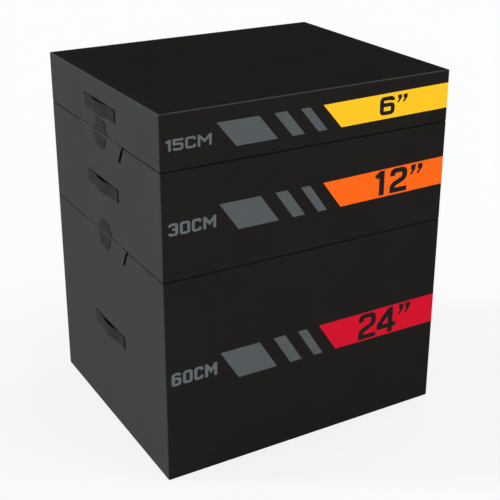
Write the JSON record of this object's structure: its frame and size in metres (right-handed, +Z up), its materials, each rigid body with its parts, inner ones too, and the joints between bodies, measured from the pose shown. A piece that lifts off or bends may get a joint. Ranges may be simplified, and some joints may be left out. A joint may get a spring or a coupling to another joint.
{
  "type": "plyo box",
  "caption": "Stack of soft foam plyo boxes in black vinyl covers, with strap handles, locking side flaps, back zips and a coloured size band on each front.",
  "frame": {"origin": "bottom centre of the stack, on the floor", "axes": "+Z up, +X to the right across the front, -Y out of the front face that carries the size bands"},
  "size_m": [0.9344, 0.762, 1.0668],
  "materials": {
    "vinyl": "matte",
    "webbing": "matte",
    "core_foam": "matte",
    "pad_foam": "matte",
    "fastener": "matte",
    "zip_tape": "matte",
    "zip_metal": "satin"
  },
  "bodies": {
    "box_24": {"cover_24_top": "vinyl", "cover_24_bottom": "vinyl", "cover_24_front": "vinyl", "cover_24_back": "vinyl", "cover_24_left": "vinyl", "cover_24_right": "vinyl", "foam_core_24": "core_foam", "top_pad_24": "pad_foam", "handle_backing_24": "webbing", "zip_tapes_24": "zip_tape", "flap_loop_24": "fastener"},
    "box_12": {"cover_12_top": "vinyl", "cover_12_bottom": "vinyl", "cover_12_front": "vinyl", "cover_12_back": "vinyl", "cover_12_left": "vinyl", "cover_12_right": "vinyl", "foam_core_12": "core_foam", "top_pad_12": "pad_foam", "handle_backing_12": "webbing", "zip_tapes_12": "zip_tape", "flap_loop_12": "fastener", "flap_anchor_12": "webbing"},
    "box_6": {"cover_6_top": "vinyl", "cover_6_bottom": "vinyl", "cover_6_front": "vinyl", "cover_6_back": "vinyl", "cover_6_left": "vinyl", "cover_6_right": "vinyl", "foam_core_6": "core_foam", "top_pad_6": "pad_foam", "handle_backing_6": "webbing", "zip_tapes_6": "zip_tape", "flap_anchor_6": "webbing"},
    "handle_24_left": {"handle_strap_24_left": "webbing"},
    "handle_24_right": {"handle_strap_24_right": "webbing"},
    "handle_12_left": {"handle_strap_12_left": "webbing"},
    "handle_12_right": {"handle_strap_12_right": "webbing"},
    "handle_6_left": {"handle_strap_6_left": "webbing"},
    "handle_6_right": {"handle_strap_6_right": "webbing"},
    "lock_flap_12_left": {"flap_12_left": "vinyl", "flap_hook_12_left": "fastener", "flap_patch_12_left": "webbing"},
    "lock_flap_12_right": {"flap_12_right": "vinyl", "flap_hook_12_right": "fastener", "flap_patch_12_right": "webbing"},
    "lock_flap_6_left": {"flap_6_left": "vinyl", "flap_hook_6_left": "fastener", "flap_patch_6_left": "webbing"},
    "lock_flap_6_right": {"flap_6_right": "vinyl", "flap_hook_6_right": "fastener", "flap_patch_6_right": "webbing"},
    "zip_slider_24": {"zip_slider_24": "zip_metal"},
    "zip_pull_24": {"zip_pull_24": "zip_metal"},
    "zip_slider_12": {"zip_slider_12": "zip_metal"},
    "zip_pull_12": {"zip_pull_12": "zip_metal"},
    "zip_slider_6": {"zip_slider_6": "zip_metal"},
    "zip_pull_6": {"zip_pull_6": "zip_metal"}
  },
  "joints": [
    {"name": "lift_12", "type": "slide", "parent": "box_24", "child": "box_12", "axis": [0, 0, 1], "range_m": [0, 0.08]},
    {"name": "lift_6", "type": "slide", "parent": "box_12", "child": "box_6", "axis": [0, 0, 1], "range_m": [0, 0.08]},
    {"name": "pull_handle_24_left", "type": "slide", "parent": "box_24", "child": "handle_24_left", "axis": [-1, 0, 0], "range_m": [0, 0.02]},
    {"name": "pull_handle_24_right", "type": "slide", "parent": "box_24", "child": "handle_24_right", "axis": [1, 0, 0], "range_m": [0, 0.02]},
    {"name": "pull_handle_12_left", "type": "slide", "parent": "box_12", "child": "handle_12_left", "axis": [-1, 0, 0], "range_m": [0, 0.02]},
    {"name": "pull_handle_12_right", "type": "slide", "parent": "box_12", "child": "handle_12_right", "axis": [1, 0, 0], "range_m": [0, 0.02]},
    {"name": "pull_handle_6_left", "type": "slide", "parent": "box_6", "child": "handle_6_left", "axis": [-1, 0, 0], "range_m": [0, 0.02]},
    {"name": "pull_handle_6_right", "type": "slide", "parent": "box_6", "child": "handle_6_right", "axis": [1, 0, 0], "range_m": [0, 0.02]},
    {"name": "open_flap_12_left", "type": "hinge", "parent": "box_12", "child": "lock_flap_12_left", "pos_m": [-0.4605, 0, 0.6096], "axis": [0, 1, 0], "range_deg": [0, 135]},
    {"name": "open_flap_12_right", "type": "hinge", "parent": "box_12", "child": "lock_flap_12_right", "pos_m": [0.4605, 0, 0.6096], "axis": [0, -1, 0], "range_deg": [0, 135]},
    {"name": "open_flap_6_left", "type": "hinge", "parent": "box_6", "child": "lock_flap_6_left", "pos_m": [-0.4605, 0, 0.9144], "axis": [0, 1, 0], "range_deg": [0, 135]},
    {"name": "open_flap_6_right", "type": "hinge", "parent": "box_6", "child": "lock_flap_6_right", "pos_m": [0.4605, 0, 0.9144], "axis": [0, -1, 0], "range_deg": [0, 135]},
    {"name": "slide_zip_24", "type": "slide", "parent": "box_24", "child": "zip_slider_24", "axis": [1, 0, 0], "range_m": [0, 0.66]},
    {"name": "swing_zip_pull_24", "type": "hinge", "parent": "zip_slider_24", "child": "zip_pull_24", "pos_m": [-0.34, 0.37975, 0.045], "axis": [0, 0, 1], "range_deg": [0, 120]},
    {"name": "slide_zip_12", "type": "slide", "parent": "box_12", "child": "zip_slider_12", "axis": [1, 0, 0], "range_m": [0, 0.66]},
    {"name": "swing_zip_pull_12", "type": "hinge", "parent": "zip_slider_12", "child": "zip_pull_12", "pos_m": [-0.34, 0.37975, 0.6546], "axis": [0, 0, 1], "range_deg": [0, 120]},
    {"name": "slide_zip_6", "type": "slide", "parent": "box_6", "child": "zip_slider_6", "axis": [1, 0, 0], "range_m": [0, 0.66]},
    {"name": "swing_zip_pull_6", "type": "hinge", "parent": "zip_slider_6", "child": "zip_pull_6", "pos_m": [-0.34, 0.37975, 0.9594], "axis": [0, 0, 1], "range_deg": [0, 120]}
  ]
}
